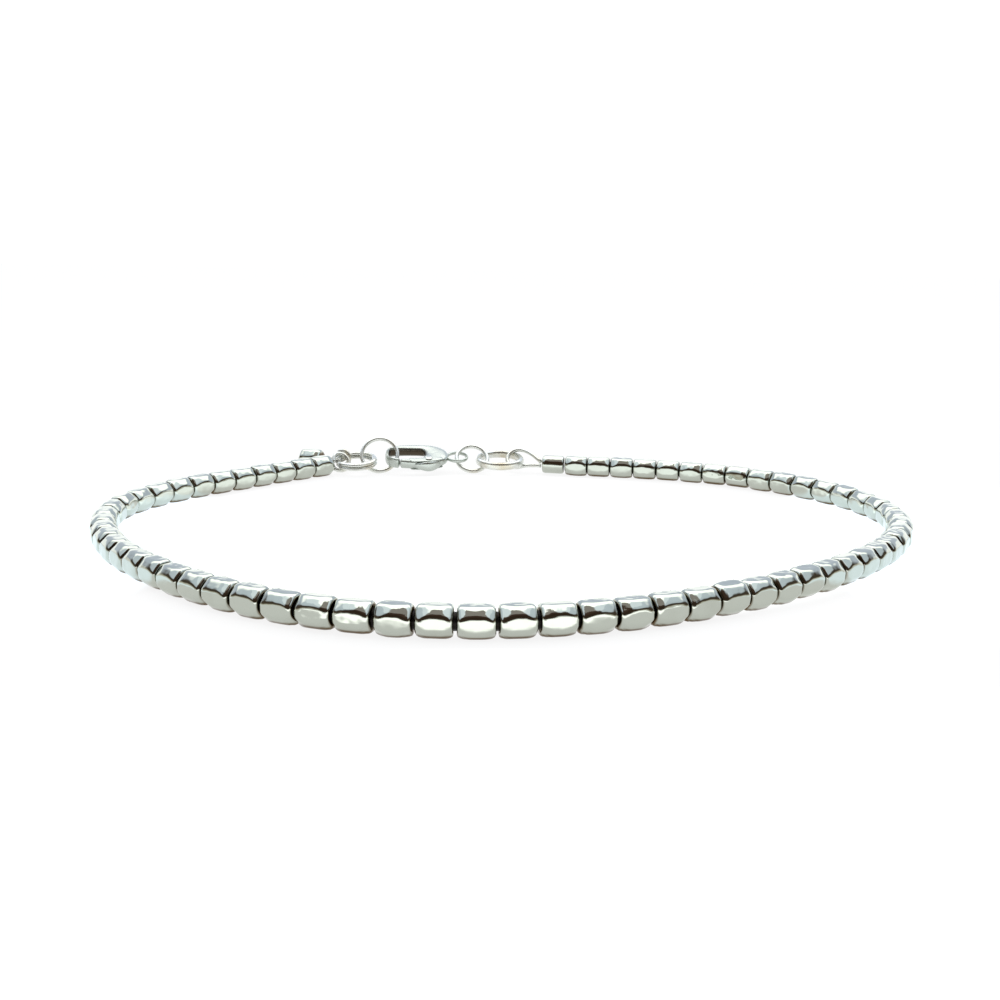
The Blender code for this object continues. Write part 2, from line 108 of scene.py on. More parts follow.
def grid_faces(rows: int, columns: int) -> np.ndarray:
    """Quads of a grid whose columns close on themselves.

    Face (i, j) joins points (i, j), (i, j+1), (i+1, j+1) and (i+1, j), with j+1 taken modulo
    the number of columns.

    Args:
        rows: Number of rings of points.
        columns: Number of points in a ring.

    Returns:
        Array of faces by four point indices.
    """
    i, j = np.meshgrid(np.arange(rows - 1), np.arange(columns), indexing="ij")
    k = (j + 1) % columns
    quads = np.stack([i * columns + j, i * columns + k, (i + 1) * columns + k, (i + 1) * columns + j], -1)
    return quads.reshape(-1, 4)


@dataclass
class Surface:
    """Points and faces of one closed surface, or of several joined ones."""

    points: np.ndarray
    quads: np.ndarray
    triangles: np.ndarray
    shade: np.ndarray | None = None

    def flipped(self) -> "Surface":
        """The same surface with its faces turned over."""
        return Surface(self.points, self.quads[:, ::-1], self.triangles[:, ::-1], self.shade)

    def volume(self) -> float:
        """Signed volume, from the sum of corner triple products over the triangulated faces."""
        tri = np.concatenate([self.quads[:, [0, 1, 2]], self.quads[:, [0, 2, 3]], self.triangles])
        a, b, c = (self.points[tri[:, n]] for n in range(3))
        return float(np.einsum("ij,ij->i", a, np.cross(b, c)).sum() / 6.0)

    def outward(self) -> "Surface":
        """The surface with its faces pointing out."""
        return self if self.volume() > 0.0 else self.flipped()


def closed_grid(points: np.ndarray, shade: np.ndarray | None = None) -> Surface:
    """Closes a grid of rings by a fan to the middle of its first and of its last ring.

    Args:
        points: Array of rows by columns by three.
        shade: Value at each grid point, or None.

    Returns:
        The closed surface, with its faces pointing out.
    """
    rows, columns = points.shape[:2]
    poles = np.stack([points[0].mean(0), points[-1].mean(0)])
    every = np.concatenate([points.reshape(-1, 3), poles])
    values = None
    if shade is not None:
        values = np.concatenate([shade.reshape(-1), [shade[0].mean(), shade[-1].mean()]])
    j = np.arange(columns)
    k = (j + 1) % columns
    pole, last = np.full(columns, rows * columns), (rows - 1) * columns
    caps = np.concatenate([np.stack([pole, k, j], -1), np.stack([pole + 1, last + j, last + k], -1)])
    return Surface(every, grid_faces(rows, columns), caps, values).outward()


def looped_grid(points: np.ndarray) -> Surface:
    """Closes a grid in both directions, as a ring's surface.

    Args:
        points: Array of rows by columns by three, without a repeated last row.

    Returns:
        The closed surface, with its faces pointing out.
    """
    rows, columns = points.shape[:2]
    quads = grid_faces(rows + 1, columns) % (rows * columns)
    return Surface(points.reshape(-1, 3), quads, np.zeros((0, 3), int)).outward()


def joined(surfaces: list[Surface]) -> Surface:
    """Several surfaces as one.

    Args:
        surfaces: The surfaces, in order.

    Returns:
        One surface with every point and face.
    """
    starts = np.cumsum([0] + [len(s.points) for s in surfaces[:-1]])
    shade = None
    if any(s.shade is not None for s in surfaces):
        shade = np.concatenate([np.zeros(len(s.points)) if s.shade is None else s.shade for s in surfaces])
    return Surface(
        np.concatenate([s.points for s in surfaces]),
        np.concatenate([s.quads + n for s, n in zip(surfaces, starts)]),
        np.concatenate([s.triangles + n for s, n in zip(surfaces, starts)]),
        shade,
    )


def linked(name: str, data: bpy.types.ID) -> bpy.types.Object:
    """A new object of the scene around some data."""
    made = bpy.data.objects.new(name, data)
    bpy.context.scene.collection.objects.link(made)
    return made


def make_piece(name: str, surface: Surface, finish: "Finish", body: str, replaced: list[str],
               sharp: float | None = None) -> bpy.types.Object:
    """Makes a smooth mesh object from a surface and ties it to the frame.

    Args:
        name: Name of the piece.
        surface: Its points and faces, in metres.
        finish: The finish that dresses it.
        body: The body that it rides on.
        replaced: The CAD nodes that it stands for.
        sharp: Angle in degrees past which an edge is sharp, or None.

    Returns:
        The new object.
    """
    mesh = bpy.data.meshes.new(name)
    faces = surface.quads.tolist() + surface.triangles.tolist()
    mesh.from_pydata(surface.points.tolist(), [], faces)
    mesh.validate()
    # The point shade is painted shade, stored on the mesh for the finish to darken its colour.
    if surface.shade is not None:
        layer = mesh.attributes.new("painted_shade", "FLOAT", "POINT")
        layer.data.foreach_set("value", surface.shade.astype(np.float32))
    mesh.shade_smooth()
    if sharp is not None:
        mesh.set_sharp_from_angle(angle=math.radians(sharp))
    piece = linked(name, mesh)
    mesh.materials.append(finish.material())
    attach(piece, body)
    if replaced:
        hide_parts(*replaced)
    LOG.info("%s: %d points", name, len(surface.points))
    return piece


def spline_through(points: np.ndarray, steps: int) -> np.ndarray:
    """Points along the natural cubic spline through the given ones.

    Each span is a cubic in its share t: the straight line between the knots plus
    ((t^3 - t) times the far knot's second derivative and the same mirrored for the near one)
    times the span squared over six, with the second derivatives solved so that slopes match.

    Args:
        points: Knots by components.
        steps: Steps in each span.

    Returns:
        Points along the curve, with both ends.
    """
    knots = np.asarray(points, float)
    spans = np.linalg.norm(np.diff(knots, axis=0), axis=1)
    count = len(knots)
    system = np.eye(count)
    target = np.zeros_like(knots)
    inside = np.arange(1, count - 1)
    system[inside, inside - 1] = spans[:-1]
    system[inside, inside] = 2.0 * (spans[:-1] + spans[1:])
    system[inside, inside + 1] = spans[1:]
    slopes = np.diff(knots, axis=0) / spans[:, None]
    target[inside] = 6.0 * np.diff(slopes, axis=0)
    bend = np.linalg.solve(system, target)
    share = np.linspace(0.0, 1.0, steps + 1)[None, :-1, None]
    rest = 1.0 - share
    size = spans[:, None, None] ** 2 / 6.0
    curve = (
        rest * knots[:-1, None] + share * knots[1:, None]
        + ((rest**3 - rest) * bend[:-1, None] + (share**3 - share) * bend[1:, None]) * size
    )
    return np.concatenate([curve.reshape(-1, knots.shape[1]), knots[-1:]])


def tube(path: np.ndarray, across: np.ndarray, upward: np.ndarray, sides: int, power: float = 2.0,
         closed: bool = False) -> Surface:
    """A tube of superellipse section carried along a path.

    A section's point is path + side * across * run + up * upward * rise, where run and rise go
    round a superellipse. Up is square to the path and as near as it can be to the normal of the
    plane that the path lies in.

    Args:
        path: Points by three.
        across: Half width of the section at each point.
        upward: Half height of the section at each point.
        sides: Points round the section.
        power: The superellipse's power, 2 for an ellipse.
        closed: Whether the path is a loop.

    Returns:
        The tube's closed surface.
    """
    if closed:
        along = unit(np.roll(path, -1, axis=0) - np.roll(path, 1, axis=0))
    else:
        along = unit(np.gradient(path, axis=0))
    middle = path.mean(0)
    normal = np.linalg.svd(path - middle)[2][2]
    normal = normal * (1.0 if normal[2] >= 0.0 else -1.0)
    up = unit(normal - along * (along @ normal)[:, None])
    side = np.cross(along, up)
    run, rise = superellipse(sides, power)
    points = (
        path[:, None]
        + side[:, None] * (np.asarray(across)[:, None] * run)[..., None]
        + up[:, None] * (np.asarray(upward)[:, None] * rise)[..., None]
    )
    return looped_grid(points) if closed else closed_grid(points)


# Finishes


def computed(tree: Tree, operation: str, *values: Socket | float, clamp: bool = False) -> Socket:
    """A math node of sockets and numbers, its result held to 0 to 1 when clamped."""
    node = tree.nodes.new("ShaderNodeMath")
    node.operation, node.use_clamp = operation, clamp
    for socket, value in zip(node.inputs, values):
        if isinstance(value, float):
            socket.default_value = value
        else:
            tree.links.new(value, socket)
    return node.outputs[0]


def mapped(tree: Tree, value: Socket, low: float, high: float,
           to_low: float = 0.0, to_high: float = 1.0, smooth: bool = False) -> Socket:
    """A value mapped from one range to another and held inside it, straight or as a smooth step."""
    node = tree.nodes.new("ShaderNodeMapRange")
    node.interpolation_type = "SMOOTHSTEP" if smooth else "LINEAR"
    for socket, number in zip(node.inputs[1:5], (low, high, to_low, to_high)):
        socket.default_value = number
    tree.links.new(value, node.inputs[0])
    return node.outputs[0]


def blended(tree: Tree, share: Socket, low: Socket | Color, high: Socket | Color) -> Socket:
    """Two colours mixed by a share, each given as a socket or as a plain colour."""
    node = tree.nodes.new("ShaderNodeMix")
    node.data_type = "RGBA"
    tree.links.new(share, node.inputs[0])
    for socket, color in zip([s for s in node.inputs if s.type == "RGBA"], (low, high)):
        if isinstance(color, tuple):
            socket.default_value = (*color, 1.0)
        else:
            tree.links.new(color, socket)
    return next(s for s in node.outputs if s.type == "RGBA")


class SilverKind(Enum):
    """Named silver surfaces of the bracelet."""

    NUGGET = "nugget"
    WIRE = "wire"
    CAST = "cast"
    STRING = "string"


@dataclass(frozen=True)
class Finish:
    """A silver finish with fine scratches and soft random clouds of tarnish, and painted shade where a
    piece's points carry it.
    """

    name: str
    kind: SilverKind
    color: Color = (0.48, 0.51, 0.45)
    # Colour of the random tarnish clouds, and also of the painted shade where a piece carries it.
    tarnish_and_shade: Color = (0.10, 0.062, 0.024)
    metallic: float = 1.0
    roughness: float = 0.05
    roughness_spread: float = 0.05
    scratch_scale: float = 9000.0
    bump: float = 0.015
    bump_depth: float = 0.05 * MM
    wave: float = 0.6
    wave_scale: float = 1100.0
    wave_depth: float = 0.10 * MM
    cloud_scale: float = 420.0
    tarnish_share: float = 0.10

    def material(self) -> bpy.types.Material:
        """The node material of this finish, made once and kept.

        Returns:
            The material.
        """
        found = bpy.data.materials.get(self.name)
        if found:
            return found
        made = bpy.data.materials.new(self.name)
        made.use_nodes = True
        tree = made.node_tree
        nodes, links = tree.nodes, tree.links
        shader = nodes["Principled BSDF"]
        shader.inputs["Metallic"].default_value = self.metallic
        place = nodes.new("ShaderNodeTexCoord").outputs["Object"]

        def noise(scale: float, detail: float,
                  stretch: tuple[float, float, float] = (1.0, 1.0, 1.0)) -> Socket:
            """Noise on object coordinates at a scale per metre, stretched by axis."""
            mapping = nodes.new("ShaderNodeMapping")
            mapping.inputs["Scale"].default_value = stretch
            links.new(place, mapping.inputs["Vector"])
            texture = nodes.new("ShaderNodeTexNoise")
            texture.inputs["Scale"].default_value = scale
            texture.inputs["Detail"].default_value = detail
            links.new(mapping.outputs["Vector"], texture.inputs["Vector"])
            return texture.outputs["Fac"]

        scratches = noise(self.scratch_scale, 4.0, (1.0, 0.12, 0.3))
        rough = computed(tree, "MULTIPLY_ADD", mapped(tree, scratches, 0.45, 0.75),
                         self.roughness_spread, self.roughness)
        links.new(rough, shader.inputs["Roughness"])

        stain_and_shade = mapped(tree, noise(self.cloud_scale, 3.0), 0.52, 0.80, 0.0, self.tarnish_share)
        # Painted shade: the point shade of nugget and cast pieces mixes the dark colour in, for the shade
        # between and under beads and in the claw's hollow.
        if self.kind in (SilverKind.NUGGET, SilverKind.CAST):
            layer = nodes.new("ShaderNodeAttribute")
            layer.attribute_name = "painted_shade"
            stain_and_shade = computed(tree, "ADD", layer.outputs["Fac"], stain_and_shade, clamp=True)
        links.new(blended(tree, stain_and_shade, self.color, self.tarnish_and_shade), shader.inputs["Base Color"])

        normal = None
        for height, strength, depth in ((noise(self.wave_scale, 1.0), self.wave, self.wave_depth),
                                        (scratches, self.bump, self.bump_depth)):
            relief = nodes.new("ShaderNodeBump")
            relief.inputs["Strength"].default_value = strength
            relief.inputs["Distance"].default_value = depth
            links.new(height, relief.inputs["Height"])
            if normal is not None:
                links.new(normal, relief.inputs["Normal"])
            normal = relief.outputs["Normal"]
        links.new(normal, shader.inputs["Normal"])
        return made


NUGGET = Finish("nugget_silver", SilverKind.NUGGET)
WIRE = Finish("ring_wire_silver", SilverKind.WIRE, color=(0.74, 0.76, 0.71), tarnish_and_shade=(0.50, 0.41, 0.24),
              metallic=0.65, roughness=0.15, roughness_spread=0.02, tarnish_share=0.70, wave=0.0,
              bump=0.0)
TUBE = Finish("crimp_silver", SilverKind.WIRE, color=(0.50, 0.53, 0.47), roughness=0.07, wave=0.4)
# The cast finish's near black dark colour paints the shade in the claw's hollow.
CAST = Finish("claw_cast_silver", SilverKind.CAST, color=(0.50, 0.54, 0.495), tarnish_and_shade=(0.05, 0.03, 0.012),
              metallic=0.75, roughness=0.22, tarnish_share=0.06, wave=0.3)
# Near black: the string wire paints the shade in the gaps between beads.
STRING = Finish("string_wire_painted_shade", SilverKind.STRING, color=(0.02, 0.018, 0.016), roughness=0.45)


# The string of beads


@dataclass
class BeadString:
    """The string of faceted nugget beads on its wire, lying as an open-ended loop."""

    loop_width: float = 68.4 * MM
    loop_depth: float = 53.1 * MM
    left_end: tuple[tuple[float, float], ...] = ((-19.152, 23.948), (-21.659, 21.365))
    route: tuple[tuple[float, float], ...] = (
        (-0.809, 0.560), (-0.996, 0.152), (-0.921, -0.312), (-0.692, -0.679), (-0.385, -0.932),
        (-0.021, -0.996), (0.328, -0.865), (0.634, -0.613), (0.884, -0.275), (0.998, 0.176),
        (0.853, 0.611), (0.549, 0.872),
    )
    right_end: tuple[tuple[float, float], ...] = ((6.6004, 25.8063), (3.7624, 26.4433))
    route_steps: int = 40
    bead_length: float = 2.40 * MM
    bead_size: float = 2.10 * MM
    bead_gap: float = 0.05 * MM
    edge_cut: float = 0.50 * MM
    corner_cut: float = 0.80 * MM
    low_corner_cut: float = 0.86 * MM
    corner_run: float = 0.62 * MM
    end_cut: float = 0.14 * MM
    # Thick enough to fill the gaps between beads, where its dark finish paints shade.
    wire: float = 1.20 * MM
    crimp_length: float = 2.40 * MM
    clearance: float = 0.10 * MM
    sharpness: float = 34.0
    unevenness: float = 0.014
    roll: float = 3.0
    # Painted shade: the bead's ends darken toward the gaps between beads, which lie in shade.
    end_shade: tuple[float, float] = (0.965, 0.03)
    # Painted reflection: two darker rises toward the bead's foot stand in for the dark contact shadow that
    # the lower facets mirror.
    foot_shades: tuple[tuple[float, float, float], ...] = ((0.15, 0.60, 0.15), (0.83, 0.72, 0.08))
    rings: int = 30
    sides: int = 40
    joints: np.ndarray = field(init=False)

    def __post_init__(self) -> None:
        """Works out the joints between the beads."""
        half = np.array([self.loop_width, self.loop_depth]) / 2.0
        ends = [np.array(end) * MM for end in (self.left_end, self.right_end)]
        knots = np.concatenate([ends[0], np.array(self.route) * half, ends[1]])
        line = spline_through(knots, self.route_steps)
        steps = np.linalg.norm(np.diff(line, axis=0), axis=1)
        distance = np.concatenate([[0.0], np.cumsum(steps)])
        turn = np.unwrap(np.arctan2(*np.gradient(line, axis=0).T[::-1]))
        bend = np.abs(np.gradient(turn, distance))
        inner = self.bead_size / 2.0 - self.end_cut
        end = distance[-1] - self.crimp_length - self.clearance
        at = [0.0]
        while True:
            here = min(np.interp(at[-1], distance, bend), 0.5 / inner)
            pitch = (self.bead_length + self.bead_gap) / (1.0 - inner * here)
            if at[-1] + pitch > end:
                break
            at.append(at[-1] + pitch)
        plan = np.stack([np.interp(at, distance, axis) for axis in line.T], -1) + SHIFT[:2]
        height = np.full((len(plan), 1), self.bead_size / 2.0)
        self.joints = np.concatenate([plan, height], axis=1)

    def planes(self) -> tuple[np.ndarray, np.ndarray]:
        """The cut planes of one bead, as unit normals and distances from its middle.

        Returns:
            Normals by three, and a distance for each.
        """
        half = self.bead_size / 2.0
        end = self.bead_length / 2.0
        cuts: list[tuple[float, float, float, float]] = []
        for sign in (-1.0, 1.0):
            cuts += [(sign, 0.0, 0.0, end), (0.0, sign, 0.0, half), (0.0, 0.0, sign, half)]
            for other in (-1.0, 1.0):
                root = math.sqrt(0.5)
                cuts.append((0.0, sign * root, other * root, (2.0 * half - self.edge_cut) * root))
                rim = (end + half - self.end_cut) * root
                cuts += [(sign * root, other * root, 0.0, rim), (sign * root, 0.0, other * root, rim)]
                cut = self.corner_cut if other > 0.0 else self.low_corner_cut
                slope = (cut - self.edge_cut) / self.corner_run
                size = math.sqrt(slope**2 + 2.0)
                corner = (2.0 * half - cut + slope * end) / size
                for third in (-1.0, 1.0):
                    cuts.append((third * slope / size, sign / size, other / size, corner))
        table = np.array(cuts)
        return table[:, :3], table[:, 3]

    def shapes(self) -> tuple[np.ndarray, np.ndarray]:
        """Points of every bead about its own middle, and how much painted shade each point has.

        A bead's radius in direction d is (sum over planes of max(0, n.d / h)^p)^(-1/p), a
        rounded blend of its cut planes with power p. Directions come from a grid: latitude from
        end to end along the bead and angle round it. The shade is painted: it rises to 1 at the
        bead's ends, as shade in the gaps between beads, and in two rises, each with a strength, a
        start and a width, toward its foot, as a painted reflection of the dark contact shadow.

        Returns:
            Beads by rings by sides by three, and beads by rings by sides.
        """
        count = len(self.joints) - 1
        random = np.random.default_rng(SEED)
        normals, distances = self.planes()
        latitude = np.linspace(0.0, np.pi, self.rings + 2)[1:-1]
        angle = circle(self.sides) + np.pi / self.sides
        lat, ang = np.meshgrid(latitude, angle, indexing="ij")
        direction = np.stack([-np.cos(lat), np.sin(lat) * np.cos(ang), np.sin(lat) * np.sin(ang)], -1)
        uneven = 1.0 + random.normal(0.0, self.unevenness, (count, 1, 1, len(distances)))
        lean = np.maximum(direction @ normals.T, 0.0)[None] / (distances * uneven)
        radius = (lean**self.sharpness).sum(-1) ** (-1.0 / self.sharpness)
        points = direction[None] * radius[..., None]
        away = np.abs(points[..., 0]) / (self.bead_length / 2.0)
        depth = -points[..., 2] / (self.bead_size / 2.0)
        # Painted shade at the ends, and a painted reflection of the contact shadow at the foot.
        foot = sum(strength * rising(depth, start, width) for strength, start, width in self.foot_shades)
        return points, np.maximum(rising(away, *self.end_shade), foot)

    def surface(self) -> Surface:
        """Every bead set in its place along the string, with small turns of its own.

        Returns:
            The joined surface of all the beads.
        """
        random = np.random.default_rng(SEED + 1)
        points, shade = self.shapes()
        count = len(points)
        along = unit(np.diff(self.joints, axis=0))
        roll = np.radians(random.normal(0.0, self.roll, count))
        across = np.cross(np.array([0.0, 0.0, 1.0]), along)
        up = np.broadcast_to([0.0, 0.0, 1.0], across.shape)
        side = across * np.cos(roll)[:, None] + up * np.sin(roll)[:, None]
        top = up * np.cos(roll)[:, None] - across * np.sin(roll)[:, None]
        middle = (self.joints[:-1] + self.joints[1:]) / 2.0
        basis = np.stack([along, side, top], axis=1)
        placed = np.einsum("brsk,bkc->brsc", points, basis) + middle[:, None, None]
        placed[..., 2] += np.maximum(0.0, -placed[..., 2].min(axis=(1, 2)))[:, None, None]
        return joined([closed_grid(placed[n], shade[n]) for n in range(count)])

    def string_wire(self) -> Surface:
        """The wire that shows between the beads, as a round tube through the joints. It is near black and
        thick enough to fill the gaps: the real wire, made dark to paint the shade between beads.
        """
        line = spline_through(self.joints[:, :2], 2)
        path = np.concatenate([line, np.full((len(line), 1), self.bead_size / 2.0)], axis=1)
        radius = np.full(len(path), self.wire / 2.0)
        return tube(path, radius, radius, 10)

    def build(self) -> None:
        """Makes the beads and the wire as two pieces."""
        make_piece("nugget_beads", self.surface(), NUGGET, "bracelet", ["bead_string"])
        make_piece("string_wire", self.string_wire(), STRING, "bracelet", [])


@dataclass
class CrimpTube:
    """The round crimp at the string's right end, in line with the last bead."""

    string: BeadString
    length: float = 2.40 * MM
    diameter: float = 1.96 * MM
    power: float = 9.0
    sides: int = 64
    rings: int = 48

    def surface(self) -> Surface:
        """A turned body: radius r and run x along the axis follow |x/a|^p + |r/b|^p = 1."""
        start, end = self.string.joints[-1], self.string.joints[-1] - self.string.joints[-2]
        along = end / np.linalg.norm(end)
        middle = start + along * (self.string.clearance + self.length / 2.0)
        turn = np.linspace(0.0, np.pi, self.rings + 2)[1:-1]
        cosine, sine = np.cos(turn), np.sin(turn)
        size = (np.abs(cosine) ** self.power + np.abs(sine) ** self.power) ** (-1.0 / self.power)
        run = -cosine * size * self.length / 2.0
        radius = sine * size * self.diameter / 2.0
        angle = circle(self.sides)
        side = np.cross([0.0, 0.0, 1.0], along)
        round_ = side * np.cos(angle)[:, None] + np.array([0.0, 0.0, 1.0]) * np.sin(angle)[:, None]
        points = middle + along * run[:, None, None] + round_[None] * radius[:, None, None]
        return closed_grid(points)

    def build(self) -> None:
        """Makes the crimp."""
        make_piece("crimp", self.surface(), TUBE, "bracelet", ["crimp_tube"])


# Rings and wires of the closure


@dataclass
class Ring:
    """A ring of the closure: middle, radius, half sizes of its section, lean and turn."""

    name: str
    node: str
    middle: tuple[float, float, float]
    radius: float
    across: float
    along: float
    tilt: float
    turn: float
    power: float = 2.0
    coils: int = 1
    coil_start: float = 200.0
    coil_pace: float = 14.0
    steps: int = 144
    sides: int = 28

    def frame(self) -> np.ndarray:
        """The ring's axes as rows: its own X, its own Y and its normal."""
        lean, turn = math.radians(self.tilt), math.radians(self.turn)
        about_x = np.array([
            [1.0, 0.0, 0.0],
            [0.0, math.cos(lean), math.sin(lean)],
            [0.0, -math.sin(lean), math.cos(lean)],
        ])
        about_z = np.array([
            [math.cos(turn), math.sin(turn), 0.0],
            [-math.sin(turn), math.cos(turn), 0.0],
            [0.0, 0.0, 1.0],
        ])
        return about_x @ about_z

    def place(self) -> np.ndarray:
        """The ring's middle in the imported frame."""
        return np.array(self.middle) * MM + SHIFT

    def surface(self) -> Surface:
        """The ring's wire: a circle, or a coil whose turns lie flat and step up half way along."""
        axes = self.frame()
        radius, across, along = (value * MM for value in (self.radius, self.across, self.along))
        if self.coils == 1:
            angle = circle(self.steps)
            rise = np.zeros_like(angle)
            half = along
        else:
            share = np.linspace(0.0, 1.0, self.steps * self.coils)
            angle = 2.0 * np.pi * self.coils * share + math.radians(self.coil_start)
            half = along / self.coils
            step = np.clip(np.abs(share - 0.5) * self.coil_pace, 0.0, 1.0)
            rise = np.sign(share - 0.5) * (along - half) * np.sin(step * np.pi / 2.0)
        path = np.stack([radius * np.cos(angle), radius * np.sin(angle), rise], -1) @ axes
        path = path + self.place()
        count = len(path)
        section = (np.full(count, across), np.full(count, half))
        return tube(path, *section, self.sides, self.power, closed=self.coils == 1)

    def on_wire(self, angle: float) -> np.ndarray:
        """The middle of the ring's wire at an angle in degrees from its own X."""
        turn = math.radians(angle)
        spot = np.array([math.cos(turn), math.sin(turn), 0.0]) * self.radius * MM
        return spot @ self.frame() + self.place()

    def build(self) -> None:
        """Makes the ring's piece."""
        make_piece(self.name, self.surface(), WIRE, "bracelet", [self.node])


LEFT_HEAVY = Ring("split_ring_left", "ring_left_heavy", (-16.405, 25.179, 1.302), 1.95, 0.30, 0.42,
                  9.25, 0.0, coils=2)
LEFT_UPRIGHT = Ring("thin_ring_left", "ring_left_upright", (-14.015, 26.224, 1.812), 1.954, 0.212, 0.212,
                    54.9, 1.7)
RIGHT_SMALL = Ring("tail_ring_right", "ring_right", (-3.8676, 26.7493, 1.4402), 1.698, 0.22, 0.22, 42.96, 8.6)
RIGHT_HEAVY = Ring("heavy_ring_right", "ring_right_heavy", (-0.8026, 26.7373, 1.3352), 2.346, 0.32, 0.42,
                   6.57, 0.0, power=2.6)


@dataclass(frozen=True)
class LoopPlace:
    """Where a wire loop turns: a ring, the angle on it, an offset and half size in mm, a tilt."""

    ring: Ring
    angle: float
    offset: tuple[float, float, float]
    size: float
    tilt: float


@dataclass
class EndWires:
    """The wire loops at both ends of the string, and the drop bead on its eyed pin."""

    string: BeadString
    wire: float = 0.42 * MM
    strand_gap: float = 0.52 * MM
    clearance: float = 0.10 * MM
    left_place: LoopPlace = LoopPlace(LEFT_HEAVY, 192.0, (0.10, 0.0, 0.0), 1.05, 48.0)
    right_place: LoopPlace = LoopPlace(RIGHT_HEAVY, 15.0, (-0.25, 0.0, 0.02), 1.20, 43.0)
    drop_shape: int = 7
    drop_middle: tuple[float, float, float] = (-21.60, 27.20, 1.05)
    pin_wire: float = 0.40 * MM
    pin_head: float = 0.90 * MM
    pin_head_height: float = 0.16 * MM
    eye_radius: float = 0.76 * MM
    eye_angle: float = 146.0
    eye_steps: int = 40

    def loop(self, start: np.ndarray, place: LoopPlace) -> Surface:
        """A wire from a place round a ring's wire and back beside itself, as a smooth tube.

        The wire's turn is an arc of 220 degrees, size * (cos along + sin upright) about a middle,
        joined by a spline to two points at the start.

        Args:
            start: Where both strands begin.
            place: Where and how the wire turns.

        Returns:
            The wire's surface.
        """
        middle = place.ring.on_wire(place.angle) + np.array(place.offset) * MM
        lean = math.radians(place.tilt)
        upright = np.array([0.0, math.cos(lean), math.sin(lean)])
        along = middle - start
        along = unit(along - upright * (along @ upright))
        turn = np.radians(np.linspace(110.0, -110.0, 11))[:, None]
        arc = middle + (along * np.cos(turn) + upright * np.sin(turn)) * place.size * MM
        aside = upright * self.strand_gap / 2.0
        path = spline_through(np.concatenate([[start + aside], arc, [start - aside]]), 8)
        radius = np.full(len(path), self.wire / 2.0)
        return tube(path, radius, radius, 20)

    def left(self) -> Surface:
        """The wire loop at the string's left end."""
        heading = unit(self.string.joints[1] - self.string.joints[0])
        start = self.string.joints[0] - heading * (self.clearance + self.wire)
        return self.loop(start, self.left_place)

    def right(self) -> Surface:
        """The wire loop at the crimp."""
        heading = unit(self.string.joints[-1] - self.string.joints[-2])
        crimp = self.string.joints[-1] + heading * (self.clearance + self.string.crimp_length)
        return self.loop(crimp + heading * (self.clearance + self.wire / 4.0), self.right_place)

    def drop_line(self) -> tuple[np.ndarray, np.ndarray, np.ndarray]:
        """The drop bead's middle, its direction, and the middle of its pin's eye."""
        eye = LEFT_HEAVY.on_wire(self.eye_angle)
        middle = np.array(self.drop_middle) * MM + SHIFT
        along = unit(np.array([eye[0] - middle[0], eye[1] - middle[1], 0.0]))
        return middle, along, eye

    def drop_bead(self) -> Surface:
        """The single nugget, in the same shape as the string's beads."""
        middle, along, _ = self.drop_line()
        points, shade = self.string.shapes()
        side = np.cross([0.0, 0.0, 1.0], along)
        basis = np.stack([along, side, [0.0, 0.0, 1.0]])
        placed = points[self.drop_shape] @ basis + middle
        placed[..., 2] += max(0.0, -placed[..., 2].min())
        # The drop bead carries the same painted shade at its ends and foot.
        return closed_grid(placed, shade[self.drop_shape])

    def drop_pin(self) -> Surface:
        """The pin: a flat head, a shank through the bead and a round eye on the ring."""
        middle, along, eye = self.drop_line()
        up = np.array([0.0, 0.0, 1.0])
        outside = self.string.bead_length / 2.0 + self.clearance
        turn = np.radians(np.linspace(195.0, -130.0, self.eye_steps))[:, None]
        arc = eye + (along * np.cos(turn) + up * np.sin(turn)) * self.eye_radius
        tall = self.pin_head_height
        runs = np.array([
            -outside - tall, -outside - tall * 0.8, -outside - tall * 0.2, -outside,
            -outside + 0.02 * MM, 0.0, outside,
        ])[:, None]
        path = np.concatenate([middle + along * runs, arc])
        rim = np.array([0.8, 1.0, 1.0, 0.8]) * self.pin_head / 2.0
        radius = np.concatenate([rim, np.full(len(path) - len(rim), self.pin_wire / 2.0)])
        return tube(path, radius, radius, 20)

    def build(self) -> None:
        """Makes the wire loops, the drop bead and its pin."""
        for name, surface, finish, node, slot in (
            ("wire_loop_left_end", self.left(), WIRE, "wire_loop_left", "bright_silver"),
            ("wire_loop_right_end", self.right(), WIRE, "wire_loop_right", "bright_silver"),
            ("drop_nugget", self.drop_bead(), NUGGET, "drop_bead", "polished_silver"),
            ("drop_head_pin", self.drop_pin(), WIRE, "drop_pin", "bright_silver"),
        ):
            make_piece(name, surface, finish, "bracelet", [node])


# The claw clasp


